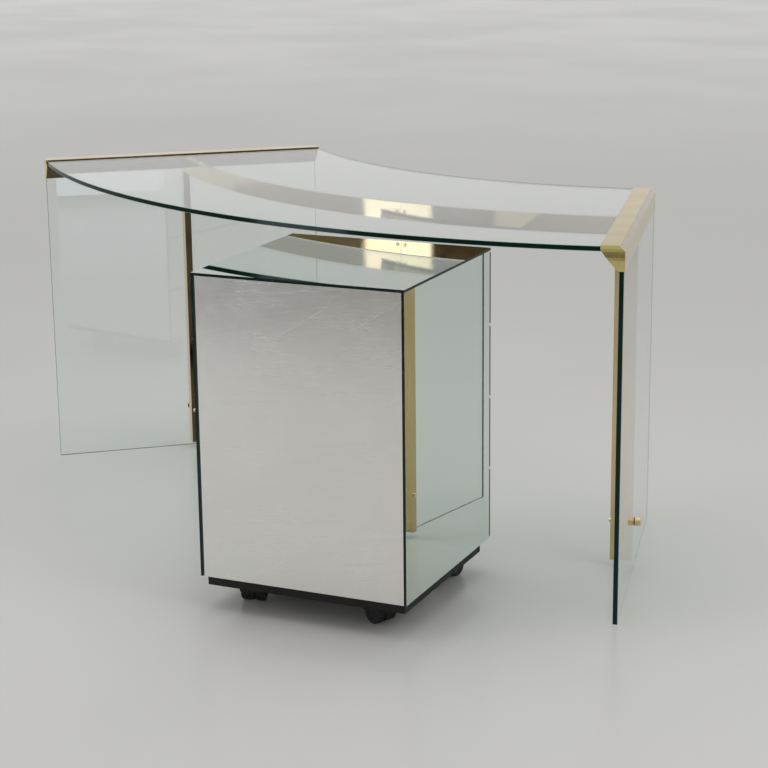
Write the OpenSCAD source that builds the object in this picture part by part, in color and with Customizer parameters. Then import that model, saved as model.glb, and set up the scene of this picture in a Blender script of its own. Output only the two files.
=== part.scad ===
// Curved glass desk on two radial glass panels, held by a tubular brass frame,
// with a mirror-clad four-drawer pedestal on casters that rolls under it.
// Millimetres, +Z up. The origin is on the floor under the middle of the whole
// object. -Y is the convex (visitor) side, +Y the concave side where the user sits.

/* [Desk top] */
// Straight distance between the two outer corners
top_w = 1700; // [1400:10:2050]
// Radial width of the top, and the length of each side panel
ring_depth = 652; // [540:1:790]
// Radius of the concave edge
inner_r = 983; // [850:1:1200]
// Height of the brass corners above the floor
top_h = 730; // [690:1:880]
// Thickness of the top glass
top_glass_t = 10; // [8:0.5:12]
// Thickness of the side glass
side_glass_t = 10; // [8:0.5:12]
// Arris on the glass edges
glass_arris = 0.8; // [0.4:0.1:1.5]

/* [Corner profile] */
// Width of the profile over the top glass
profile_w = 45; // [42:1:60]
// Height of the profile down the side
profile_h = 48; // [42:1:60]
// Width of the outer chamfer
chamfer_w = 9.5; // [4:0.5:12]
// Height of the outer chamfer
chamfer_h = 10; // [4:0.5:12]
// Height of the inner tip of the profile
tip_h = 9; // [4:0.5:11]
// How far the inner face bulges from a straight line
bulge = 1.5; // [0.5:0.1:4]
// Metal over the top glass
top_lip = 2; // [1.5:0.1:3]
// Metal on each side of the side glass
side_lip = 0.8; // [0.6:0.1:1.5]
// Play between the glass and its slot, both sides together
slot_play = 0.4; // [0.2:0.1:0.8]
// Depth of the slot for the top glass
top_slot = 25; // [15:1:28]
// Depth of the slot for the side glass
side_slot = 27; // [15:1:28]
// Thickness of the rubber blocks that the glass stands against
block_t = 1; // [0.5:0.1:2]
// Thickness of the end caps
cap_t = 3; // [2:0.1:5]
// Room round the frame in the notch that lets it into the profile
notch_play = 1.5; // [1:0.1:3]

/* [Brass frame] */
// Distance of the frame from the arcs' common centre
rail_r = 1308; // [1200:1:1420]
// Tube size across the arc
tube_t = 15; // [12:0.5:20]
// Tube size along the arc at a leg, and its height at the rail
tube_w = 36; // [30:1:42]
// Tube wall
tube_wall = 1.5; // [1:0.1:2]
// Pads between the rail and the glass
rail_pad = 1; // [0.5:0.1:2]
// Spacers between a leg and its side glass
leg_spacer = 2.5; // [1:0.1:5]
// Height of the legs' feet above the floor
foot_clear = 15; // [8:1:30]
// Height of the clamp studs above the floor
stud_z = 98; // [60:1:160]
// Slit where the two parts of the rail meet
slit = 1; // [0.5:0.1:2]
// Turn of the rail's splice from the middle of the desk, towards the right
splice_turn = 9; // [0:0.1:14]
// Distance of each splice screw from the slit
splice_screw_x = 9; // [8:0.5:20]
// Half the length of the bar inside the rail
splice_half = 60; // [40:1:90]
// Radius of the pads
pad_r = 6; // [4:0.5:7]

/* [Clamp fittings] */
// Diameter of the round cap outside the glass
clamp_cap_d = 18; // [14:1:24]
// Length of that cap
clamp_cap_l = 12; // [8:1:16]
// Diameter of the stud
stud_d = 6; // [5:0.5:8]
// Diameter of the head inside the leg
stud_head_d = 9; // [8:0.5:12]
// Thickness of that head
stud_head_t = 4; // [3:0.5:6]
// Washer under the cap
washer_t = 1; // [0.5:0.1:2]

/* [Pedestal] */
// Width over the side mirrors
ped_w = 434; // [360:1:520]
// Depth from the steel back to the drawer fronts
ped_d = 425; // [354:1:510]
// Height of the clad body
ped_body_h = 598; // [500:1:604]
// Sideways distance of the pedestal's middle from the desk's centre line
ped_x = 335; // [150:1:380]
// Distance of the pedestal's middle inside the convex edge
ped_in = 38; // [-60:1:120]
// Turn of the pedestal from facing straight back
ped_turn = 19.2; // [0:0.1:30]
// Thickness of the mirror glass
mirror_t = 5; // [4:0.5:6]
// Thickness of the carcass boards
board_t = 16; // [12:0.2:19.2]
// Thickness of the black board under the body
base_t = 16.5; // [12:0.5:22]
// How far the base board stands back from the left side
base_in_left = 15; // [2:1:40]
// How far the base board stands back from the right side
base_in_right = 4; // [2:1:40]
// How far the base board stands back from the drawer fronts
base_in_front = 46; // [10:1:60]
// Thickness of the steel sheet
steel_t = 1.2; // [0.8:0.1:2]
// Depth of the steel sheet's folded edges
steel_fold = 5; // [3:0.5:8]
// Gap between the left mirror and the steel sheet
steel_gap_left = 3; // [0.5:0.5:5]
// Gap between the right mirror and the steel sheet
steel_gap_right = 0.5; // [0.5:0.5:5]

/* [Drawers] */
// Gap between one front and the next
front_gap = 6; // [3:0.5:8]
// Gap between the fronts and the carcass behind them
front_reveal = 1; // [0.5:0.1:2]
// Thickness of the drawer sides and back
drawer_t = 12; // [9:0.5:15]
// Height of the drawer sides
drawer_h = 98; // [70:1:100]
// Thickness of the drawer bottom
bottom_t = 4; // [3:0.5:6]
// Width of the runner space on each side
runner_space = 13; // [12:0.5:16]
// Height of the fixed runner
runner_h = 44; // [35:1:46]
// Sheet of the fixed runner
runner_t = 1.2; // [1:0.1:2]
// Play between a sliding and a fixed runner
runner_play = 0.6; // [0.4:0.1:1]

/* [Casters] */
// Distance of the swivel axes from the body's sides
caster_in = 72; // [60:1:100]
// Wheel diameter
wheel_d = 42; // [35:0.2:50.6]
// Width of one wheel
wheel_w = 16.5; // [12:0.5:20]
// Distance from the swivel axis to the axle
trail = 18; // [14:0.5:22]
// Diameter of the axles and the swivel pins
pin_d = 6; // [5:0.5:6.5]
// Radial play of the axles and the swivel pins
pin_play = 0.1; // [0.05:0.01:0.1]
// Gap between the wheels and the fender
hood_gap = 1.3; // [1:0.1:2]
// Thickness of the fender
hood_wall = 2.2; // [1.5:0.1:3]
// Height of the boss over the fender
boss_h = 4.5; // [3:0.5:8]
// Thickness of the caster plate
plate_t = 3; // [2:0.5:4]

/* [Hidden] */
$fn = 64;
eps = 0.05;

// ---- desk: radii, angles and heights ----
outer_r = inner_r + ring_depth;
half_angle = asin(top_w / 2 / outer_r);
glass_top = top_h - top_lip - slot_play / 2;
glass_under = glass_top - top_glass_t;
side_x1 = -side_lip - slot_play / 2;
side_x0 = side_x1 - side_glass_t;
side_glass_top = top_h - profile_h + side_slot - block_t;
top_slot_x = -profile_w + top_slot;
rail_top = glass_under - rail_pad;
rail_bottom = rail_top - tube_w;
leg_x1 = side_x0 - leg_spacer;
leg_x0 = leg_x1 - tube_w;
// The straight leg stands where the curved rail crosses its middle line
leg_y = -sqrt(rail_r * rail_r - pow((leg_x0 + leg_x1) / 2, 2));

// Plugs in the legs' feet
plug_head = 2;
plug_l = 14;
plug_play = 0.15;

// ---- origin: the pedestal's near left corner and the desk's inner corners set it ----
ped_mid_y = -(outer_r - ped_in);
ped_near_y = ped_mid_y - ped_w / 2 * sin(ped_turn) - ped_d / 2 * cos(ped_turn);
desk_far_y = -(inner_r - cap_t) * cos(half_angle);
desk_near_y = -outer_r;
arc_y = -(min(ped_near_y, desk_near_y) + desk_far_y) / 2;

// ---- corner profile: arc of the inner face through the tip and the foot ----
foot_w = side_glass_t + slot_play + 2 * side_lip;
tip = [-profile_w, top_h - tip_h];
foot = [-foot_w, top_h - profile_h];
chord = norm(foot - tip);
face_r = (chord * chord / 4 + bulge * bulge) / (2 * bulge);
face_normal = [tip[1] - foot[1], foot[0] - tip[0]] / chord;
face_centre = (tip + foot) / 2 + (face_r - bulge) * face_normal;
chamber_wall = 3;
notch_side_play = 0.5;
cap_floor = 1.2;
dish_depth = cap_t - cap_floor;
dish_x = -profile_w * 0.38;
dish_z = top_h - profile_h * 0.42;
// The dish runs out just beyond the corner farthest from its middle
dish_reach = 0.5 + max(norm([profile_w + dish_x, top_h - dish_z]),
    norm([dish_x, dish_z - (top_h - profile_h)]));
dish_r = (dish_reach * dish_reach + dish_depth * dish_depth) / (2 * dish_depth);

// ---- casters: heights, from the floor up ----
plate_gap = 0.5;
hood_top = wheel_d + hood_gap + hood_wall + boss_h;
caster_h = hood_top + plate_gap + plate_t;

// ---- pedestal: heights and planes ----
body_z = caster_h + base_t;
ped_top = body_z + ped_body_h;
half_w = ped_w / 2;
half_d = ped_d / 2;
caster_x = half_w - caster_in;
caster_y = half_d - caster_in;
carcass_x = half_w - mirror_t;
inner_x = carcass_x - board_t;
board_top = ped_top - mirror_t;
front_y = half_d - mirror_t;
carcass_y1 = front_y - front_reveal;
rear_t = 5.5;
carcass_y0 = -half_d + steel_t + rear_t;
steel_x0 = -half_w + mirror_t + steel_gap_left;
steel_x1 = half_w - mirror_t - steel_gap_right;

// ---- drawers ----
drawer_count = 4;
pitch = (board_top - body_z) / drawer_count;
front_h = pitch - front_gap;
front_board_up = board_t + 1.5;
front_board_h = front_h - 2 * front_board_up;
front_board_x = inner_x - 2;
box_x = inner_x - runner_space;
box_inner_x = box_x - drawer_t;
joint_gap = 0.1;
box_y0 = carcass_y0 + 14;
box_y1 = front_y - board_t;
box_up = front_board_up + 3;
groove_up = 8;
groove_deep = 5;
groove_play = 0.3;
runner_mid = box_up + drawer_h / 2;
runner_y0 = carcass_y0 + 6;
runner_y1 = box_y1 - 3;

// ---- casters ----
plate_w = 38;
plate_screw_x = 13;
screw_r = 1.75;
screw_l = 12;
web_t = 11;
wheel_gap = 0.5;
hood_floor = 6;
hub_wall = 3;
hub_recess = 1.5;
axle_end_play = 0.3;
hood_side = 0.5;
rib_w = 1.2;
rib_proud = 0.6;
groove_w = 1;
tread_groove = 0.6;
pin_l = 16;
wheel_r = wheel_d / 2;
pin_r = pin_d / 2;
caster_turn = [100, 156, 76, 150];
caster_side = [[-1, -1], [1, -1], [1, 1], [-1, 1]];

// =============== placing ===============
module desk_frame() {
    translate([0, arc_y, 0]) children();
}

// In this frame x = 0 is the outer face of the right end and -y points away from the arcs' centre
module right_end() {
    desk_frame() rotate([0, 0, half_angle]) children();
}

module left_end() {
    desk_frame() mirror([1, 0, 0]) rotate([0, 0, half_angle]) children();
}

module both_ends() {
    right_end() children();
    left_end() children();
}

module pedestal_frame() {
    desk_frame() translate([ped_x, ped_mid_y, 0]) rotate([0, 0, ped_turn]) children();
}

// Swivel axis of one caster, turned so that its wheels trail towards +y
module caster_frame(i) {
    spot = [caster_side[i][0] * caster_x, caster_side[i][1] * caster_y, 0];
    pedestal_frame() translate(spot) rotate([0, 0, caster_turn[i] - 90]) children();
}

// A box between two corners
module block(low, high) {
    translate(low) cube(high - low);
}

// =============== desk ===============
module ring_piece(r0, r1, z0, z1, from_deg, to_deg, arris = 0) {
    section = arris > 0
        ? [[r0 + arris, z0], [r1 - arris, z0], [r1, z0 + arris], [r1, z1 - arris],
           [r1 - arris, z1], [r0 + arris, z1], [r0, z1 - arris], [r0, z0 + arris]]
        : [[r0, z0], [r1, z0], [r1, z1], [r0, z1]];
    rotate([0, 0, from_deg - 90])
        rotate_extrude(angle = to_deg - from_deg, $fn = 360) polygon(section);
}

module top_glass() {
    reach = top_slot_x - block_t;
    color([0.72, 0.84, 0.80, 0.4])
    difference() {
        desk_frame()
            ring_piece(inner_r, outer_r, glass_under, glass_top, -half_angle, half_angle, glass_arris);
        both_ends() block([reach, -outer_r - 10, glass_under - 1], [reach + 200, 0, glass_top + 1]);
        both_ends() block([-profile_w - eps, -inner_r - eps, glass_under - 1], [50, 0, glass_top + 1]);
    }
}

module side_glass() {
    a = glass_arris;
    plan = [[side_x0, -outer_r + a], [side_x0 + a, -outer_r], [side_x1 - a, -outer_r],
        [side_x1, -outer_r + a], [side_x1, -inner_r - a], [side_x1 - a, -inner_r],
        [side_x0 + a, -inner_r], [side_x0, -inner_r - a]];
    color([0.72, 0.84, 0.80, 0.4])
    difference() {
        linear_extrude(side_glass_top) polygon(plan);
        stud_bore(side_x0 - 1, side_x1 + 1, stud_d / 2 + 1.5);
    }
}

module stud_bore(x0, x1, r) {
    translate([x0, leg_y, stud_z]) rotate([0, 90, 0]) cylinder(h = x1 - x0, r = r);
}

module profile_outline() {
    z0 = top_h - profile_h;
    intersection() {
        polygon([[-profile_w, z0], [-profile_w, top_h], [-chamfer_w, top_h],
            [0, top_h - chamfer_h], [0, z0]]);
        translate(face_centre) circle(r = face_r, $fn = 180);
    }
}

// Hollow between the slots, one wall inside the inner face
module profile_chamber() {
    run = (foot[0] - tip[0]) / (tip[1] - foot[1]);
    z_hi = glass_under - slot_play / 2 - chamber_wall;
    x_hi = -foot_w - chamber_wall;
    side = chamber_wall * norm([1, run]);
    x_lo = tip[0] + (tip[1] - z_hi) * run + side;
    z_lo = z_hi - (x_hi - x_lo) / run;
    polygon([[x_hi, z_hi], [x_lo, z_hi], [x_hi, z_lo]]);
}

module corner_profile() {
    play = slot_play / 2;
    color([0.80, 0.72, 0.52])
    difference() {
        translate([0, -inner_r, 0]) rotate([90, 0, 0]) linear_extrude(ring_depth)
        difference() {
            profile_outline();
            translate([-profile_w - 1, glass_under - play])
                square([top_slot + 1, top_glass_t + slot_play]);
            translate([side_x0 - play, top_h - profile_h - 1])
                square([side_glass_t + slot_play, side_slot + 1]);
            profile_chamber();
        }
        frame_notch();
    }
}

// Notch in the inner face, open to the slot above, where the leg meets the rail
module frame_notch() {
    half = tube_t / 2 + notch_play;
    block([-profile_w - 1, leg_y - half, top_h - profile_h - 1],
        [leg_x1 + notch_side_play, leg_y + half, glass_under]);
}

// Both caps of one profile, each dished over the whole of its outer face
module end_caps() {
    translate([0, -outer_r, 0]) dished_cap();
    translate([0, -inner_r, 0]) mirror([0, 1, 0]) dished_cap();
}

module dished_cap() {
    difference() {
        rotate([90, 0, 0]) linear_extrude(cap_t) profile_outline();
        translate([dish_x, -cap_floor - dish_r, dish_z]) sphere(r = dish_r, $fn = 400);
    }
}

module profile_end_caps() {
    color([0.74, 0.68, 0.42]) both_ends() end_caps();
}

module setting_blocks() {
    color([0.15, 0.15, 0.15])
    both_ends() for (share = [0.2, 0.8]) {
        y = -inner_r - ring_depth * share;
        block([top_slot_x - block_t, y - 20, glass_under + 1], [top_slot_x, y + 20, glass_top - 1]);
        block([side_x0 + 1, y - 20, side_glass_top], [side_x1 - 1, y + 20, side_glass_top + block_t]);
    }
}

// Everything on the leg's side of the mitre, or on the rail's side
module mitre_cut(leg_side) {
    far = leg_side ? 400 : -400;
    rotate([90, 0, 0]) translate([0, 0, rail_r - 100]) linear_extrude(200)
        polygon([[leg_x0 - 1, rail_bottom - 1], [leg_x1 + 1, rail_top + 1],
            [leg_x1 + far, rail_top + 1], [leg_x1 + far, rail_bottom - 1]]);
}

// The rail from its splice, at an angle, to the mitre at the right end
module rail_part(splice) {
    color([0.74, 0.66, 0.44])
    difference() {
        ring_piece(rail_r - tube_t / 2, rail_r + tube_t / 2, rail_bottom, rail_top, splice, half_angle);
        ring_piece(rail_r - tube_t / 2 + tube_wall, rail_r + tube_t / 2 - tube_wall,
            rail_bottom + tube_wall, rail_top - tube_wall, splice - 1, half_angle + 1);
        rotate([0, 0, half_angle]) mitre_cut(true);
        rotate([0, 0, splice]) {
            block([-50, -rail_r - 50, rail_bottom - 1], [slit / 2, -rail_r + 50, rail_top + 1]);
            splice_screw_axis() translate([0, 0, -tube_t / 2]) cylinder(h = tube_t, r = 2.2);
        }
    }
}

// Axis of a splice screw, for a splice at the middle. +z points out of the convex face, where z = 0
module splice_screw_axis() {
    rotate([0, 0, asin(splice_screw_x / rail_r)])
        translate([0, -rail_r - tube_t / 2, (rail_top + rail_bottom) / 2])
            rotate([90, 0, 0]) children();
}

module rail_splice_bar() {
    play = 0.15;
    turn = asin(splice_half / rail_r);
    color([0.62, 0.55, 0.38])
    desk_frame() rotate([0, 0, splice_turn]) difference() {
        ring_piece(rail_r - tube_t / 2 + tube_wall + play, rail_r + tube_t / 2 - tube_wall - play,
            rail_bottom + tube_wall + play, rail_top - tube_wall - play, -turn, turn);
        for (side = [0, 1]) mirror([side, 0, 0])
            splice_screw_axis() translate([0, 0, -11]) cylinder(h = 12, r = 2.05);
    }
}

module splice_screws() {
    color([0.70, 0.62, 0.42])
    desk_frame() rotate([0, 0, splice_turn]) for (side = [0, 1]) mirror([side, 0, 0]) splice_screw_axis()
    difference() {
        union() {
            translate([0, 0, 0.02]) cylinder(h = 2, r1 = 4.2, r2 = 3.4);
            translate([0, 0, -10]) cylinder(h = 10.5, r = 2);
        }
        translate([0, 0, 0.8]) cylinder(h = 2, r = 1.5, $fn = 6);
    }
}

module leg() {
    y0 = leg_y - tube_t / 2;
    y1 = leg_y + tube_t / 2;
    z0 = foot_clear + plug_head;
    w = tube_wall;
    color([0.74, 0.66, 0.44])
    difference() {
        block([leg_x0, y0, z0], [leg_x1, y1, rail_top]);
        block([leg_x0 + w, y0 + w, z0 - 1], [leg_x1 - w, y1 - w, rail_top - w]);
        mitre_cut(false);
        stud_bore(leg_x0 - 1, leg_x1 + 1, stud_d / 2 + 0.2);
    }
}

module leg_foot_plugs() {
    in = tube_wall + plug_play;
    y0 = leg_y - tube_t / 2;
    y1 = leg_y + tube_t / 2;
    color([0.70, 0.62, 0.42])
    both_ends() union() {
        block([leg_x0, y0, foot_clear], [leg_x1, y1, foot_clear + plug_head]);
        block([leg_x0 + in, y0 + in, foot_clear + 1], [leg_x1 - in, y1 - in, foot_clear + plug_l]);
    }
}

module ring_washer(x0, x1, outer, hole) {
    difference() {
        stud_bore(x0, x1, outer);
        stud_bore(x0 - 1, x1 + 1, hole);
    }
}

module clamp_spacers() {
    hole = stud_d / 2 + 0.2;
    color([0.12, 0.12, 0.12])
    both_ends() {
        ring_washer(leg_x1, side_x0, 7, hole);
        ring_washer(side_x1, side_x1 + washer_t, clamp_cap_d / 2 - 1, hole);
    }
}

module clamp_studs() {
    color([0.80, 0.70, 0.42])
    both_ends() union() {
        stud_bore(leg_x0 - 1, side_x1 + washer_t + clamp_cap_l - 4, stud_d / 2);
        translate([leg_x0 - stud_head_t, leg_y, stud_z]) rotate([0, 90, 0])
            rotate_extrude() polygon([[0, 0], [stud_head_d / 2 - 1, 0], [stud_head_d / 2, 1],
                [stud_head_d / 2, stud_head_t], [0, stud_head_t]]);
    }
}

module clamp_caps() {
    r = clamp_cap_d / 2;
    color([0.84, 0.74, 0.44])
    both_ends() difference() {
        translate([side_x1 + washer_t, leg_y, stud_z]) rotate([0, 90, 0])
            rotate_extrude() polygon([[0, 0], [r, 0], [r, clamp_cap_l - 1.2], [r - 1.2, clamp_cap_l],
                [0, clamp_cap_l]]);
        stud_bore(side_x1, side_x1 + washer_t + clamp_cap_l - 3.5, stud_d / 2 + 0.1);
    }
}

module rail_pads() {
    color([0.85, 0.88, 0.86, 0.6])
    desk_frame() for (share = [-0.75, -0.42, -0.12, 0.12, 0.42, 0.75])
        rotate([0, 0, share * half_angle])
            translate([0, -rail_r, rail_top]) cylinder(h = rail_pad, r = pad_r);
}

// =============== pedestal ===============
module carcass_side(x0) {
    color([0.10, 0.10, 0.10])
    block([x0, carcass_y0, body_z], [x0 + board_t, carcass_y1, board_top - board_t]);
}

module carcass_top() {
    color([0.10, 0.10, 0.10])
    block([-carcass_x, carcass_y0, board_top - board_t], [carcass_x, carcass_y1, board_top]);
}

module carcass_bottom() {
    color([0.10, 0.10, 0.10])
    block([-inner_x, carcass_y0, body_z], [inner_x, carcass_y1, body_z + board_t]);
}

module rear_board() {
    inside = steel_t + 0.2;
    color([0.08, 0.08, 0.08])
    block([steel_x0 + inside, -half_d + steel_t, body_z + inside],
        [steel_x1 - inside, carcass_y0, board_top - inside - 0.5]);
}

module side_mirror(x0) {
    color([0.55, 0.62, 0.60])
    block([x0, -half_d, body_z], [x0 + mirror_t, carcass_y1, board_top]);
}

module top_mirror() {
    color([0.60, 0.66, 0.64])
    block([-half_w, -half_d, board_top], [half_w, half_d, ped_top]);
}

// Sheet with its side, lower and upper edges folded back round the rear board
module steel_back() {
    z1 = board_top - 0.5;
    deep = min(steel_fold, rear_t - 0.2);
    color([0.68, 0.68, 0.66])
    difference() {
        block([steel_x0, -half_d, body_z], [steel_x1, -half_d + steel_t + deep, z1]);
        block([steel_x0 + steel_t, -half_d + steel_t, body_z + steel_t],
            [steel_x1 - steel_t, half_d, z1 - steel_t]);
    }
}

module base_board() {
    color([0.09, 0.09, 0.09])
    difference() {
        block([-half_w + base_in_left, -half_d + 2, caster_h],
            [half_w - base_in_right, half_d - base_in_front, body_z]);
        caster_screw_bores(screw_r + 0.05, screw_l + 0.5);
    }
}

// Holes at the corners of every caster plate, up from its lower face
module caster_screw_bores(r, depth) {
    for (side = caster_side, sx = [-1, 1], sy = [-1, 1])
        translate([side[0] * caster_x + sx * plate_screw_x, side[1] * caster_y + sy * plate_screw_x,
                caster_h - plate_t - 1])
            cylinder(h = plate_t + 1 + depth, r = r);
}

module caster_plates() {
    color([0.55, 0.55, 0.55])
    pedestal_frame() difference() {
        for (side = caster_side)
            translate([side[0] * caster_x, side[1] * caster_y, 0]) {
                block([-plate_w / 2, -plate_w / 2, caster_h - plate_t],
                    [plate_w / 2, plate_w / 2, caster_h]);
                translate([0, 0, hood_top - pin_l]) cylinder(h = pin_l + 1, r = pin_r);
            }
        caster_screw_bores(screw_r + 0.2, 0);
    }
}

module caster_screws() {
    color([0.60, 0.60, 0.60])
    pedestal_frame() for (side = caster_side, sx = [-1, 1], sy = [-1, 1])
        translate([side[0] * caster_x + sx * plate_screw_x, side[1] * caster_y + sy * plate_screw_x,
                caster_h - plate_t])
            union() {
                translate([0, 0, -2]) cylinder(h = 2, r1 = 2, r2 = 3.2);
                translate([0, 0, -1]) cylinder(h = 1 + plate_t + screw_l, r = screw_r);
            }
}

// Fixed channels, one pair for each drawer, open towards the drawer
module cabinet_runners() {
    color([0.62, 0.62, 0.62])
    pedestal_frame() for (side = [0, 1], k = [1 : drawer_count]) mirror([side, 0, 0]) {
        z0 = drawer_z(k) + runner_mid - runner_h / 2;
        deep = runner_space - 2.5;
        difference() {
            block([inner_x - deep, runner_y0, z0], [inner_x, runner_y1, z0 + runner_h]);
            block([inner_x - deep - 1, runner_y0 - 1, z0 + runner_t],
                [inner_x - runner_t, runner_y1 + 1, z0 + runner_h - runner_t]);
        }
    }
}

// =============== drawers, 1 at the top ===============
// Lower edge of a drawer's front
function drawer_z(k) = body_z + (drawer_count - k) * pitch + front_gap / 2;

module drawer_mirror(k) {
    z0 = drawer_z(k);
    color([0.58, 0.64, 0.62])
    pedestal_frame() block([-half_w, front_y, z0], [half_w, half_d, z0 + front_h - front_reveal]);
}

// Front board, two grooved sides and a back
module drawer_box(k) {
    z0 = drawer_z(k);
    zb = z0 + box_up;
    groove_z = zb + groove_up - groove_play / 2;
    groove_h = bottom_t + groove_play;
    color([0.14, 0.13, 0.12])
    pedestal_frame() {
        difference() {
            block([-front_board_x, box_y1, z0 + front_board_up],
                [front_board_x, front_y, z0 + front_board_up + front_board_h]);
            block([-box_inner_x, box_y1 - 1, groove_z],
                [box_inner_x, box_y1 + groove_deep, groove_z + groove_h]);
        }
        for (side = [0, 1]) mirror([side, 0, 0]) difference() {
            block([box_inner_x, box_y0, zb], [box_x, box_y1 - joint_gap, zb + drawer_h]);
            block([box_inner_x - 1, box_y0 - 1, groove_z],
                [box_inner_x + groove_deep, box_y1, groove_z + groove_h]);
        }
        block([-box_inner_x + joint_gap, box_y0, zb + groove_up + bottom_t + groove_play],
            [box_inner_x - joint_gap, box_y0 + drawer_t, zb + drawer_h]);
    }
}

module drawer_bottom(k) {
    zb = drawer_z(k) + box_up + groove_up;
    half = box_inner_x + groove_deep - groove_play;
    color([0.20, 0.18, 0.16])
    pedestal_frame() union() {
        block([-half, box_y0, zb], [half, box_y1 - joint_gap, zb + bottom_t]);
        block([-box_inner_x + 2, box_y1 - 1, zb],
            [box_inner_x - 2, box_y1 + groove_deep - groove_play, zb + bottom_t]);
    }
}

module drawer_runners(k) {
    z = drawer_z(k) + runner_mid;
    tall = runner_h / 2 - runner_t - runner_play;
    color([0.66, 0.66, 0.66])
    pedestal_frame() for (side = [0, 1]) mirror([side, 0, 0])
        block([box_x, box_y0, z - tall], [inner_x - runner_t - runner_play, box_y1, z + tall]);
}

// =============== casters ===============
// A cylinder on the axle's line, centred on the web
module axle_line(length, r) {
    translate([-length / 2, trail, wheel_r]) rotate([0, 90, 0]) cylinder(h = length, r = r);
}

// Everything below a height, round the wheels
module caster_below(z) {
    reach = 4 * wheel_d;
    translate([-reach / 2, trail - reach / 2, z - reach]) cube(reach);
}

// Middle web, a ribbed fender over both wheels and a boss round the swivel pin
module caster_hood(i) {
    width = web_t + 2 * (wheel_gap + wheel_w + hood_side);
    inner = wheel_r + hood_gap;
    outer = inner + hood_wall;
    fender_z = wheel_r + 2;
    web_top = hood_top - 2;
    boss_z = wheel_d + hood_gap;
    boss_r = pin_r + 6;
    color([0.07, 0.07, 0.07])
    caster_frame(i) difference() {
        union() {
            axle_line(web_t, inner + 0.5);
            difference() {
                union() {
                    axle_line(width, outer);
                    for (x = [-3 : 3])
                        translate([x * (width - rib_w) / 6, 0, 0]) axle_line(rib_w, outer + rib_proud);
                }
                axle_line(width + 2, inner);
                caster_below(fender_z);
            }
            translate([0, 0, boss_z]) cylinder(h = hood_top - boss_z, r = boss_r);
            block([-web_t / 2, -6, wheel_r + 4], [web_t / 2, trail, web_top]);
        }
        translate([0, 0, hood_top - pin_l - 1]) cylinder(h = pin_l + 2, r = pin_r + pin_play);
        axle_line(2 * web_t, pin_r + 0.05);
        caster_below(hood_floor);
    }
}

module caster_axle(i) {
    length = web_t + 2 * (wheel_gap + wheel_w - hub_wall - axle_end_play);
    color([0.70, 0.70, 0.70]) caster_frame(i) axle_line(length, pin_r);
}

// Half section of a wheel from its inner face: grooved tread, then a recessed hub
module wheel_section() {
    c = 1.5;
    root = wheel_r - tread_groove;
    groove = [[-1, wheel_r], [-1, root], [1, root], [1, wheel_r]];
    tread = [for (share = [0.3, 0.5, 0.7], corner = groove)
        [corner[1], wheel_w * share + corner[0] * groove_w / 2]];
    polygon(concat([[0, 0], [wheel_r - c, 0], [wheel_r, c]], tread,
        [[wheel_r, wheel_w - c], [wheel_r - c, wheel_w], [wheel_r * 0.62, wheel_w],
        [wheel_r * 0.55, wheel_w - hub_recess], [0, wheel_w - hub_recess]]));
}

module caster_wheels(i) {
    color([0.06, 0.06, 0.06])
    caster_frame(i) for (side = [0, 1]) mirror([side, 0, 0])
        translate([web_t / 2 + wheel_gap, trail, wheel_r]) rotate([0, 90, 0]) difference() {
            rotate_extrude($fn = 96) wheel_section();
            translate([0, 0, -1]) cylinder(h = wheel_w - hub_wall + 1, r = pin_r + pin_play);
        }
}

top_glass();
left_end() side_glass();  // left_side_glass
right_end() side_glass();  // right_side_glass
left_end() corner_profile();  // left_profile
right_end() corner_profile();  // right_profile
profile_end_caps();
setting_blocks();
desk_frame() mirror([1, 0, 0]) rail_part(-splice_turn);  // left_rail
desk_frame() rail_part(splice_turn);  // right_rail
rail_splice_bar();
splice_screws();
left_end() leg();  // left_leg
right_end() leg();  // right_leg
leg_foot_plugs();
clamp_spacers();
clamp_studs();
clamp_caps();
rail_pads();
pedestal_frame() carcass_side(-carcass_x);  // carcass_left
pedestal_frame() carcass_side(inner_x);  // carcass_right
pedestal_frame() carcass_top();
pedestal_frame() carcass_bottom();
pedestal_frame() rear_board();
pedestal_frame() side_mirror(-half_w);  // left_mirror
pedestal_frame() side_mirror(carcass_x);  // right_mirror
pedestal_frame() top_mirror();
pedestal_frame() steel_back();
pedestal_frame() base_board();
cabinet_runners();
caster_plates();
caster_screws();
for (k = [1 : drawer_count]) {
    drawer_mirror(k);
    drawer_box(k);
    drawer_bottom(k);
    drawer_runners(k);
}
for (i = [0 : 3]) {
    caster_hood(i);
    caster_axle(i);
    caster_wheels(i);
}
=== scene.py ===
import math

import bmesh
import bpy
from mathutils import Matrix, Vector


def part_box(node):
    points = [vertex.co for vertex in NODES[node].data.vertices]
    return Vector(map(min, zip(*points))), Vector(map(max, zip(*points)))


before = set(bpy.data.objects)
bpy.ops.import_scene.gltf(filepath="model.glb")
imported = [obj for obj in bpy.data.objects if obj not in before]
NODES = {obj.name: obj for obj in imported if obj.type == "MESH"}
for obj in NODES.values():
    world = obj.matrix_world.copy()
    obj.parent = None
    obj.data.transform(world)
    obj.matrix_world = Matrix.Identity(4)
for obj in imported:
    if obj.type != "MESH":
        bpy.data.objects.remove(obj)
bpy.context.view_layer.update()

DRAWERS = CASTERS = range(1, 5)
LEVEL_TOLERANCE = 1e-5   # m, the height difference up to which an edge counts as level


# ---------------- directions in the row frame ----------------
def flat_axis(a, b):
    """Unit vector on the floor from a to b."""
    d = Vector((b[0] - a[0], b[1] - a[1], 0))
    return d.normalized()


def longest_level_edge_axis(node):
    """Unit direction of the node's longest edge that lies level."""
    mesh = NODES[node].data
    best, axis = 0, None
    for edge in mesh.edges:
        a, b = (mesh.vertices[i].co for i in edge.vertices)
        d = b - a
        if abs(d.z) < LEVEL_TOLERANCE and d.length > best:
            best, axis = d.length, d.normalized()
    return axis


def middle(node):
    lo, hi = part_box(node)
    return (lo + hi) / 2


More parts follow.
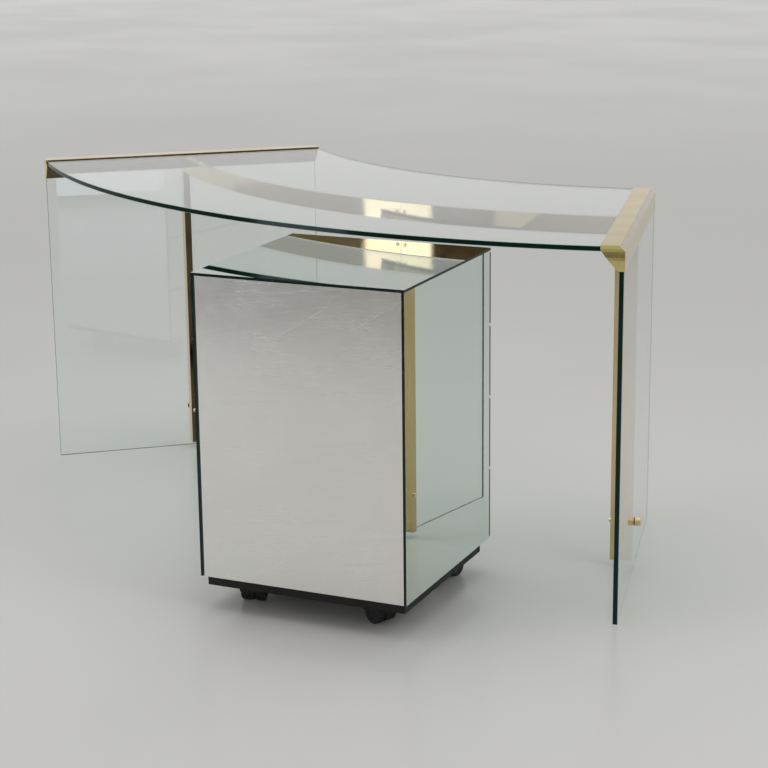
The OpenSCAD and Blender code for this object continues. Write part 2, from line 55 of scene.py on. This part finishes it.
def turn_of(axis):
    """Angle of a level direction about the vertical."""
    return math.atan2(axis.y, axis.x)


UP = Vector((0, 0, 1))
# Square to the side glass, away from the desk's middle. The left side mirrors the right.
RIGHT_RADIAL = longest_level_edge_axis("right_side_glass")
RIGHT_OUT = Vector((RIGHT_RADIAL.y, -RIGHT_RADIAL.x, 0))
if RIGHT_OUT.x < 0:
    RIGHT_OUT = -RIGHT_OUT
LEFT_OUT = Vector((-RIGHT_OUT.x, RIGHT_OUT.y, 0))
# The pedestal's own directions: out of its steel back, and out of its right side.
STEEL_OUT = flat_axis(middle("drawer_1_mirror"), middle("steel_back"))
SIDE_OUT = flat_axis(middle("left_mirror"), middle("right_mirror"))
RIGHT_TURN, LEFT_TURN, PED_TURN = turn_of(RIGHT_OUT), turn_of(LEFT_OUT), turn_of(SIDE_OUT)


# ---------------- material helpers ----------------
# Socket numbers of a Mix node whose data type is RGBA.
MIX_FACTOR, MIX_A, MIX_B, MIX_RESULT = 0, 6, 7, 2
GLASS_IOR = 1.5


def rgb(r, g, b):
    return (r, g, b, 1)


def scaled(tone, *factors):
    """The tone times one factor, or times one factor for each channel."""
    if len(factors) == 1:
        factors *= 3
    return tuple(c * f for c, f in zip(tone, factors))


class Tree:
    """A node tree with short calls: values and sockets are given by input name."""

    def __init__(self, name, tree=None):
        if tree is None:
            self.mat = bpy.data.materials.new(name)
            self.mat.use_nodes = True
            tree = self.mat.node_tree
        self.nt = tree
        self.nt.nodes.clear()

    def add(self, kind, inputs=None, **props):
        n = self.nt.nodes.new("ShaderNode" + kind)
        for k, v in props.items():
            setattr(n, k, v)
        for k, v in (inputs or {}).items():
            if isinstance(v, bpy.types.NodeSocket):
                self.nt.links.new(v, n.inputs[k])
            else:
                n.inputs[k].default_value = v
        return n

    def math(self, op, a, b):
        return self.add("Math", {0: a, 1: b}, operation=op).outputs[0]

    def dot(self, vector, axis):
        return self.add("VectorMath", {0: vector, 1: tuple(axis)},
                        operation="DOT_PRODUCT").outputs["Value"]

    def mix(self, fac, a, b):
        """Colour between a and b, each a colour of three numbers or a socket."""
        a, b = (v if isinstance(v, bpy.types.NodeSocket) else rgb(*v) for v in (a, b))
        pins = {MIX_FACTOR: fac, MIX_A: a, MIX_B: b}
        return self.add("Mix", pins, data_type="RGBA").outputs[MIX_RESULT]

    def blend(self, fac, a, b):
        """Shader between a and b."""
        return self.add("MixShader", {0: fac, 1: a, 2: b}).outputs[0]

    def principled(self, inputs):
        return self.add("BsdfPrincipled", inputs).outputs[0]

    def ramp(self, value, low, high, to_low=0.0, to_high=1.0, smooth=True):
        n = self.add("MapRange", {0: value, 1: low, 2: high, 3: to_low, 4: to_high})
        n.interpolation_type = "SMOOTHSTEP" if smooth else "LINEAR"
        return n.outputs[0]

    def mapped(self, vector, **inputs):
        return self.add("Mapping", {"Vector": vector, **inputs}).outputs[0]

    def coords(self, turn=0.0, scale=(1, 1, 1)):
        """Object coordinates, turned about Z so that x runs along the direction at that angle."""
        turned = self.mapped(self.add("TexCoord").outputs["Object"], Rotation=(0, 0, -turn))
        return self.mapped(turned, Scale=scale)

    def noise(self, vector, scale, detail=3.0, rough=0.55, distortion=0.0):
        return self.add("TexNoise", {"Vector": vector, "Scale": scale, "Detail": detail,
                                     "Roughness": rough, "Distortion": distortion}).outputs[0]

    def facing(self, axis):
        """Cosine between the surface's own normal and a direction in the row frame."""
        return self.dot(self.add("TexCoord").outputs["Normal"], axis)

    def bump(self, height, strength, distance, normal=None):
        pins = {"Height": height, "Strength": strength, "Distance": distance}
        if normal is not None:
            pins["Normal"] = normal
        return self.add("Bump", pins).outputs[0]

    def end(self, shader):
        """Joins the shader to the output and gives the material."""
        self.add("OutputMaterial", {"Surface": shader})
        return self.mat


def glass(name, axis):
    """Clear float glass. Its ground edges look dark green, and the arris between is pale."""
    t = Tree(name)
    main = t.math("ABSOLUTE", t.facing(axis), 0.0)
    edge = t.ramp(main, 0.45, 0.55, 1, 0)
    arris = t.math("MULTIPLY", t.ramp(main, 0.55, 0.62), t.ramp(main, 0.8, 0.9, 1, 0))
    where = t.coords()
    smear = t.noise(where, 3.0, 4.0, 0.6, 0.4)
    rough = t.ramp(smear, 0.62, 0.8, 0.0, 0.05)
    pane = t.principled({"Base Color": rgb(0.955, 0.985, 0.97), "Roughness": rough,
                         "IOR": GLASS_IOR, "Transmission Weight": 1.0})
    speck = t.noise(where, 900.0, 2.0)
    tone = t.mix(t.noise(where, 40.0, 2.0), (0.001, 0.007, 0.005), (0.003, 0.022, 0.017))
    side = t.principled({"Base Color": tone, "Roughness": t.ramp(speck, 0.4, 0.7, 0.08, 0.18),
                         "IOR": GLASS_IOR, "Specular IOR Level": 0.2})
    pale = t.mix(speck, (0.16, 0.27, 0.23), (0.36, 0.50, 0.45))
    ground = t.principled({"Base Color": pale, "Roughness": 0.45, "IOR": GLASS_IOR})
    body = t.blend(arris, t.blend(edge, pane, side), ground)
    # Light reaches the surfaces behind the glass as through a tinted opening.
    path = t.add("LightPath")
    lamp = t.math("MAXIMUM", path.outputs["Is Shadow Ray"], path.outputs["Is Diffuse Ray"])
    clear = t.add("BsdfTransparent", {"Color": rgb(0.90, 0.94, 0.92)}).outputs[0]
    return t.end(t.blend(lamp, body, clear))


def brass(name, turn, along, tone=(0.80, 0.645, 0.36), rough=0.10, wave=0.25,
          shade_facing=None, cover=(0.9, 0.97), shade_tone=(0.25, 0.20, 0.10)):
    """Polished brass with fine draw lines, light tarnish and handling marks.

    Faces that look along the given direction take the given dark tone: painted shade that stands in
    for the dark surroundings these faces reflect. It begins at the first cosine in cover and is full
    at the second.
    """
    t = Tree(name)
    scale = {"x": (4, 260, 260), "y": (260, 4, 260), "z": (260, 260, 4)}[along]
    lines = t.noise(t.coords(turn, scale), 4.0, 4.0, 0.7)
    where = t.coords(turn)
    cloud = t.noise(where, 9.0, 4.0, 0.6, 0.6)
    spots = t.noise(where, 70.0, 3.0, 0.6)
    colour = t.mix(t.ramp(cloud, 0.35, 0.75), tone, scaled(tone, 0.93, 0.9, 0.82))
    colour = t.mix(t.ramp(spots, 0.66, 0.78, 0, 0.35), colour, (0.40, 0.30, 0.14))
    # Painted shade: faces along the given direction are darkened towards a brown tone.
    if shade_facing is not None:
        colour = t.mix(t.ramp(t.facing(shade_facing), *cover), colour, shade_tone)
    gloss = t.math("ADD", t.ramp(lines, 0.3, 0.7, rough * 0.6, rough * 1.4),
                   t.ramp(cloud, 0.5, 0.8, 0, 0.07))
    relief = t.bump(t.noise(where, 6.0, 1.0), wave, 0.004)
    relief = t.bump(lines, 0.08, 0.0002, relief)
    return t.end(t.principled({"Base Color": colour, "Metallic": 1.0, "Roughness": gloss,
                               "Normal": relief}))


def mirror(name, axis, turn, tint=(0.78, 0.84, 0.805)):
    """Silvered glass: it mirrors on one face, its edges are dark green and its back is paint."""
    t = Tree(name)
    face = t.facing(axis)
    front = t.ramp(face, 0.85, 0.95)
    back = t.ramp(face, -0.95, -0.85, 1, 0)
    where = t.coords(turn)
    smear = t.noise(where, 5.0, 5.0, 0.62, 0.5)
    wipe = t.noise(t.coords(turn + 0.5, (2, 14, 8)), 3.0, 4.0, 0.6)
    haze = t.math("MULTIPLY", t.ramp(smear, 0.5, 0.8), t.ramp(wipe, 0.45, 0.75))
    silver = t.principled({"Base Color": t.mix(haze, tint, scaled(tint, 0.93)),
                           "Metallic": 1.0, "Roughness": t.ramp(haze, 0, 1, 0.012, 0.09),
                           "Normal": t.bump(t.noise(where, 2.2, 1.0), 0.05, 0.002)})
    chips = t.ramp(t.noise(where, 260.0, 3.0, 0.7), 0.66, 0.72)
    tone = t.mix(chips, (0.002, 0.013, 0.010), (0.24, 0.40, 0.34))
    side = t.principled({"Base Color": tone, "Roughness": 0.2, "IOR": GLASS_IOR,
                         "Specular IOR Level": 0.25})
    paint = t.principled({"Base Color": t.mix(smear, (0.10, 0.11, 0.115), (0.16, 0.17, 0.175)),
                          "Roughness": 0.55})
    return t.end(t.blend(back, t.blend(front, side, silver), paint))


def steel(name, turn):
    """Stainless sheet brushed level, with wiped smudges and crossing hairline scratches."""
    t = Tree(name)
    brush = t.noise(t.coords(turn, (1.2, 400, 400)), 6.0, 5.0, 0.75)
    where = t.coords(turn)
    cloud = t.noise(where, 4.0, 5.0, 0.6, 0.8)
    fine = t.noise(where, 30.0, 4.0, 0.6)
    marks = None
    for angle, size, cut in ((0.55, 5.0, 0.735), (-0.42, 7.0, 0.745), (1.15, 4.0, 0.75)):
        slim = t.mapped(t.mapped(where, Rotation=(0, angle, 0)), Scale=(0.5, 1, 150))
        hair = t.ramp(t.noise(slim, size, 2.0, 0.5), cut, cut + 0.02)
        marks = hair if marks is None else t.math("MAXIMUM", marks, hair)
    marks = t.math("MULTIPLY", marks, t.ramp(cloud, 0.42, 0.62))
    base = t.mix(t.ramp(cloud, 0.3, 0.75), (0.86, 0.86, 0.82), (0.90, 0.90, 0.865))
    base = t.mix(t.ramp(fine, 0.55, 0.8, 0, 0.3), base, (0.93, 0.925, 0.90))
    base = t.mix(t.math("MULTIPLY", marks, 0.6), base, (0.97, 0.97, 0.95))
    wiped = t.mapped(t.mapped(where, Rotation=(0, 0.16, 0)), Scale=(2.2, 1, 130))
    streak = t.noise(wiped, 3.0, 4.0, 0.62, 0.25)
    base = t.mix(t.ramp(streak, 0.45, 0.7, 0, 0.22), base, (0.76, 0.755, 0.72))
    rough = t.math("ADD", t.ramp(brush, 0.3, 0.7, 0.17, 0.24), t.ramp(cloud, 0.4, 0.75, 0.0, 0.04))
    rough = t.math("ADD", rough, t.math("MULTIPLY", marks, 0.15))
    rough = t.math("ADD", rough, t.ramp(streak, 0.42, 0.7, 0, 0.035))
    tangent = t.add("Tangent", direction_type="RADIAL", axis="Z").outputs[0]
    return t.end(t.principled({"Base Color": base, "Metallic": 1.0, "Roughness": rough,
                               "Anisotropic": 0.6, "Normal": t.bump(brush, 0.22, 0.0003),
                               "Tangent": tangent}))


def laminate(name, dark, light, turn, rough=0.38, grain=120.0):
    """Coated board with a faint grain, dust and rubbed places."""
    t = Tree(name)
    where = t.coords(turn)
    pores = t.noise(t.coords(turn, (6, 1, 1)), grain, 3.0, 0.65)
    cloud = t.noise(where, 12.0, 4.0, 0.6)
    dust = t.ramp(t.noise(where, 420.0, 2.0), 0.70, 0.78, 0, 0.25)
    colour = t.mix(dust, t.mix(t.ramp(cloud, 0.35, 0.75), dark, light), (0.35, 0.34, 0.32))
    gloss = t.math("ADD", t.ramp(pores, 0.3, 0.7, rough, rough + 0.15),
                   t.ramp(cloud, 0.5, 0.8, 0, 0.1))
    return t.end(t.principled({"Base Color": colour, "Roughness": gloss,
                               "Specular IOR Level": 0.25,
                               "Normal": t.bump(pores, 0.25, 0.0004)}))


def zinc(name, turn=0.0, tone=(0.62, 0.63, 0.64)):
    """Plated steel with faint rolling lines and stains."""
    t = Tree(name)
    lines = t.noise(t.coords(turn, (90, 3, 90)), 5.0, 4.0, 0.7)
    stain = t.noise(t.coords(turn), 25.0, 4.0, 0.6, 0.5)
    colour = t.mix(t.ramp(stain, 0.4, 0.75), tone, scaled(tone, 0.8))
    return t.end(t.principled({"Base Color": colour, "Metallic": 1.0,
                               "Roughness": t.ramp(stain, 0.3, 0.8, 0.22, 0.42),
                               "Normal": t.bump(lines, 0.12, 0.0002)}))


def plastic(name, tone, rough=0.42, grain=900.0):
    """Moulded plastic or rubber with a fine spark-eroded grain and scuffs."""
    t = Tree(name)
    where = t.coords()
    pits = t.noise(where, grain, 3.0, 0.6)
    scuff = t.noise(where, 60.0, 4.0, 0.65, 0.4)
    rubbed = tuple(min(1, c * 1.6 + 0.01) for c in tone)
    return t.end(t.principled({"Base Color": t.mix(t.ramp(scuff, 0.55, 0.8), tone, rubbed),
                               "Roughness": t.ramp(scuff, 0.35, 0.75, rough, rough + 0.18),
                               "Specular IOR Level": 0.3,
                               "Normal": t.bump(pits, 0.2, 0.0003)}))


def clear_rubber(name):
    """Cloudy soft plastic that lets some light through."""
    t = Tree(name)
    cloud = t.noise(t.coords(), 300.0, 2.0)
    return t.end(t.principled({"Base Color": t.mix(cloud, (0.75, 0.79, 0.77), (0.88, 0.91, 0.89)),
                               "Roughness": 0.25, "IOR": 1.45, "Transmission Weight": 0.6}))


# ---------------- materials on the CAD nodes ----------------
def dress(names, material):
    for name in names.split():
        obj = NODES[name]
        if not obj.material_slots:
            raise RuntimeError(name + " has no material slot")
        for slot in obj.material_slots:
            slot.link = "OBJECT"
            slot.material = material


# Glass, brass and rubber of the desk. The right profile's chamfer, the left profile's slanted
# underside and the left leg's inner face carry painted shade: they are browner and darker than the
# rest.
CHAMFER_OUT = (RIGHT_OUT + UP).normalized()
LEFT_SLOPE_OUT = (-LEFT_OUT - UP).normalized()
dress("top_glass", glass("glass_top", UP))
dress("right_side_glass", glass("glass_right", RIGHT_OUT))
dress("left_side_glass", glass("glass_left", LEFT_OUT))
dress("right_profile", brass("brass_right_profile", RIGHT_TURN, "y", shade_facing=CHAMFER_OUT))
dress("left_profile", brass("brass_left_profile", LEFT_TURN, "y", shade_facing=LEFT_SLOPE_OUT,
                            cover=(0.66, 0.72), shade_tone=(0.11, 0.085, 0.05)))
dress("profile_end_caps", brass("brass_caps", 0, "z", tone=(0.86, 0.76, 0.33), rough=0.09))
dress("left_rail right_rail rail_splice_bar", brass("brass_rail", 0, "x", rough=0.05, wave=0.3))
dress("splice_screws", brass("brass_screws", 0, "z", tone=(0.72, 0.56, 0.28), rough=0.2))
dress("left_leg", brass("brass_left_leg", LEFT_TURN, "z", rough=0.07,
                        shade_facing=-LEFT_OUT, shade_tone=(0.12, 0.09, 0.05)))
# Painted shade: the right leg and its foot plugs take a darker copy of the brass tone.
dress("right_leg leg_foot_plugs", brass("brass_legs_shaded", RIGHT_TURN, "z",
                                        tone=(0.66, 0.52, 0.28), rough=0.07))
dress("clamp_studs clamp_caps", brass("brass_clamps", RIGHT_TURN, "x", rough=0.07))
dress("clamp_spacers setting_blocks", plastic("black_rubber", (0.015, 0.015, 0.015), 0.55))
dress("rail_pads", clear_rubber("clear_rubber"))

# Cladding, boards and runners of the pedestal.
dress("right_mirror", mirror("mirror_right", SIDE_OUT, PED_TURN))
dress("left_mirror", mirror("mirror_left", -SIDE_OUT, PED_TURN))
dress("top_mirror", mirror("mirror_top", UP, PED_TURN))
FRONT = mirror("mirror_fronts", -STEEL_OUT, PED_TURN)
BOARD = laminate("drawer_board", (0.028, 0.025, 0.022), (0.045, 0.040, 0.035), PED_TURN)
HARD = laminate("hardboard", (0.10, 0.065, 0.04), (0.15, 0.10, 0.062), PED_TURN, 0.55, 300.0)
RUNNER = zinc("runner_steel", PED_TURN)
for k in DRAWERS:
    dress(f"drawer_{k}_mirror", FRONT)
    dress(f"drawer_{k}_box", BOARD)
    dress(f"drawer_{k}_bottom", HARD)
    dress(f"drawer_{k}_runners", RUNNER)
dress("cabinet_runners", RUNNER)
dress("steel_back", steel("brushed_steel", PED_TURN))
dress("carcass_left carcass_right carcass_top carcass_bottom rear_board base_board",
      laminate("black_board", (0.007, 0.006, 0.006), (0.014, 0.012, 0.012), PED_TURN, 0.46))

# Casters.
dress("caster_plates caster_screws", zinc("zinc_plate", PED_TURN))
HOOD = plastic("caster_plastic", (0.012, 0.012, 0.013))
WHEEL = plastic("wheel_plastic", (0.020, 0.020, 0.021), 0.5, 500.0)
AXLE = zinc("axle_zinc")
for k in CASTERS:
    dress(f"caster_{k}_hood", HOOD)
    dress(f"caster_{k}_wheels", WHEEL)
    dress(f"caster_{k}_axle", AXLE)


# ---------------- stage helpers ----------------
def place(name, data):
    """A new object with this data, linked to the scene."""
    obj = bpy.data.objects.new(name, data)
    bpy.context.scene.collection.objects.link(obj)
    return obj


def stage_mesh(name, bm):
    """Turns a bmesh into a new object and frees it."""
    mesh = bpy.data.meshes.new(name)
    bm.to_mesh(mesh)
    bm.free()
    return place(name, mesh)


def on_circle(radius, angle, z=None):
    point = (radius * math.cos(angle), radius * math.sin(angle))
    return point if z is None else (*point, z)


def strips(bm, rows):
    """Quads between neighbouring rows of vertices, each row open at its ends."""
    for a, b in zip(rows, rows[1:]):
        for k in range(len(a) - 1):
            bm.faces.new([a[k], b[k], b[k + 1], a[k + 1]])


# ---------------- floor ----------------
RING_RADII, SPOKES = (1.5, 3.0, 6.0, 12.0, 24.0, 40.0), 96


def floor_disc():
    """The pale, slightly glossy studio floor, wide enough to reach the backdrop."""
    bm = bmesh.new()
    centre = bm.verts.new((0, 0, 0))
    last = None
    for radius in RING_RADII:
        ring = [bm.verts.new(on_circle(radius, 2 * math.pi * k / SPOKES, 0)) for k in range(SPOKES)]
        for k in range(SPOKES):
            j = (k + 1) % SPOKES
            bm.faces.new([centre, ring[k], ring[j]] if last is None
                         else [last[k], ring[k], ring[j], last[j]])
        last = ring
    obj = stage_mesh("floor", bm)
    t = Tree("pale_floor")
    cloud = t.noise(t.coords(), 0.8, 2.0)
    floor = t.principled({"Base Color": t.mix(cloud, (0.485, 0.480, 0.470), (0.525, 0.520, 0.508)),
                          "Roughness": t.ramp(cloud, 0.3, 0.7, 0.17, 0.21), "IOR": 1.38})
    obj.data.materials.append(t.end(floor))


# ---------------- light ----------------
TO_CAMERA_SIDE = (0.69, -0.72, 0)

# Lamps: name, place, target, width, height (m), power (W).
SOFTBOXES = (
    ("overhead", (-0.4, 0.2, 3.4), (0, 0, 0.3), 3.2, 2.4, 40),
    ("window", (-1.25, -2.95, 1.0), (0.2, 0, 0.7), 0.95, 1.6, 24),
    ("fill", (3.2, 0.4, 2.2), (0.4, -0.4, 0), 2.0, 1.6, 30),
)

# Painted shade of the unlit floor: an arc around the origin, which fades in with the distance from
# FADE_MIDDLE.
DARK_RADII, DARK_FROM_DEG, DARK_STEP_DEG, DARK_STEPS = (1.9, 3.3, 4.68), -178, 4, 44
DARK_ABOVE_FLOOR = 0.002
FADE_MIDDLE, FADE_FROM_TO, FADE_TOP = (0.5, 0.3, 0.0), (2.9, 3.7), 0.9

# A screen that starts this high (m) may be seen through glass, since no view looks up at it.
SEEN_THROUGH_Z = 1.0
WINDOW, WINDOW_TONE = [(-1.66, -2.555), (-0.69, -3.03)], (2.1, 2.2, 2.7)


def studio_world():
    """Pale backdrop behind, a dimmer room on the camera's side and a bright ceiling."""
    world = bpy.data.worlds.new("studio")
    bpy.context.scene.world = world
    world.use_nodes = True
    t = Tree("studio", world.node_tree)
    toward = t.add("TexCoord").outputs["Generated"]
    side = t.dot(toward, TO_CAMERA_SIDE)
    up = t.add("SeparateXYZ", {0: toward}).outputs["Z"]
    backdrop = t.mix(t.ramp(up, 0.04, 0.24, smooth=False), (1.02, 1.016, 1.01), (0.47, 0.47, 0.46))
    room = t.mix(t.ramp(side, -0.85, 0.75), backdrop, (0.47, 0.465, 0.455))
    ceiling = t.mix(t.ramp(up, 0.45, 0.8), room, (0.84, 0.84, 0.83))
    light = t.add("Background", {"Color": ceiling, "Strength": 1.0}).outputs[0]
    t.add("OutputWorld", {"Surface": light})


def softbox(name, place_at, target, width, height, power):
    """A soft lamp that lights the scene and isn't itself seen or reflected."""
    lamp = bpy.data.lights.new(name, "AREA")
    lamp.shape = "RECTANGLE"
    lamp.size, lamp.size_y = width, height
    lamp.energy = power
    obj = place(name, lamp)
    obj.location = place_at
    obj.rotation_euler = (Vector(target) - Vector(place_at)).to_track_quat("-Z", "Y").to_euler()
    obj.visible_camera = False
    obj.visible_glossy = False


def emission(t, colour):
    return t.add("Emission", {"Color": colour, "Strength": 1.0}).outputs[0]


def reflected_only(obj, through_glass=False):
    for kind in ("camera", "diffuse", "shadow", "transmission", "volume_scatter"):
        setattr(obj, "visible_" + kind, kind == "transmission" and through_glass)


def dark_floor():
    """Painted shade: a dim emitting sheet that stands in for the unlit floor on the camera's side,
    seen only in reflections and only from above.
    """
    bm = bmesh.new()
    angles = [math.radians(DARK_FROM_DEG + DARK_STEP_DEG * k) for k in range(DARK_STEPS)]
    strips(bm, [[bm.verts.new(on_circle(r, a, DARK_ABOVE_FLOOR)) for a in angles]
                for r in DARK_RADII])
    obj = stage_mesh("dark_floor", bm)
    t = Tree("dark_floor")
    far = t.add("VectorMath", {0: t.coords(), 1: FADE_MIDDLE}, operation="DISTANCE").outputs["Value"]
    # Clear from below, so that it sheds no light on the floor it lies on.
    above = t.math("SUBTRACT", 1.0, t.add("NewGeometry").outputs["Backfacing"])
    cover = t.math("MULTIPLY", above, t.ramp(far, *FADE_FROM_TO, 0.0, FADE_TOP))
    clear = t.add("BsdfTransparent", {"Color": rgb(1, 1, 1)}).outputs[0]
    obj.data.materials.append(t.end(t.blend(cover, clear, emission(t, rgb(0.10, 0.085, 0.07)))))
    reflected_only(obj)


def reflected_screen(name, points, z0, z1, tone, low=1.0):
    """A standing studio screen over floor points: a painted reflection, an emitting sheet seen only
    in reflections.

    Its tone varies in painted fold shade down to low times itself.
    """
    bm = bmesh.new()
    strips(bm, [[bm.verts.new((x, y, z)) for x, y in points] for z in (z1, z0)])
    obj = stage_mesh(name, bm)
    t = Tree(name)
    # Painted shade of curtain folds: soft bands where the tone drops.
    fold_shade = t.ramp(t.noise(t.coords(0, (3, 3, 0.25)), 2.0, 3.0), 0.35, 0.65)
    obj.data.materials.append(t.end(emission(t, t.mix(fold_shade, scaled(tone, low), tone))))
    reflected_only(obj, z0 >= SEEN_THROUGH_Z)


def arc_points(radius, from_deg, to_deg, count=24):
    step = (to_deg - from_deg) / (count - 1)
    return [on_circle(radius, math.radians(from_deg + step * k)) for k in range(count)]


# ---------------- camera ----------------
# Fitted to the photograph's corners and arcs.
SENSOR_MM, LENS_MM = 36.0, 95.53
CAMERA_AT = (3.0231, -2.9677, 1.4293)
YAW_DEG, TILT_DEG, ROLL_DEG = -43.529, 14.753, -0.633


def camera():
    data = bpy.data.cameras.new("camera")
    data.sensor_width, data.lens = SENSOR_MM, LENS_MM
    obj = place("camera", data)
    yaw, tilt, roll = (math.radians(a) for a in (YAW_DEG, TILT_DEG, ROLL_DEG))
    look = Vector((math.sin(yaw) * math.cos(tilt), math.cos(yaw) * math.cos(tilt),
                   -math.sin(tilt)))
    level = Vector((math.cos(yaw), -math.sin(yaw), 0))
    upright = level.cross(look)
    side = math.cos(roll) * level + math.sin(roll) * upright
    up = -math.sin(roll) * level + math.cos(roll) * upright
    pose = Matrix((side, up, -look)).transposed().to_4x4()
    pose.translation = CAMERA_AT
    obj.matrix_world = pose
    bpy.context.scene.camera = obj


# ---------------- stage ----------------
floor_disc()
studio_world()
for box in SOFTBOXES:
    softbox(*box)
# Painted reflections: a dark room strip and a bright window, as emitting sheets seen only in
# reflections.
reflected_screen("room_strip", arc_points(4.7, -165, -88), 1.35, 2.05,
                 (0.085, 0.066, 0.048), low=0.45)
reflected_screen("window_low", WINDOW, 0.02, 0.32, WINDOW_TONE)
reflected_screen("window_high", WINDOW, 1.05, 1.5, WINDOW_TONE)
dark_floor()
camera()
bpy.context.scene.view_settings.view_transform = "Standard"
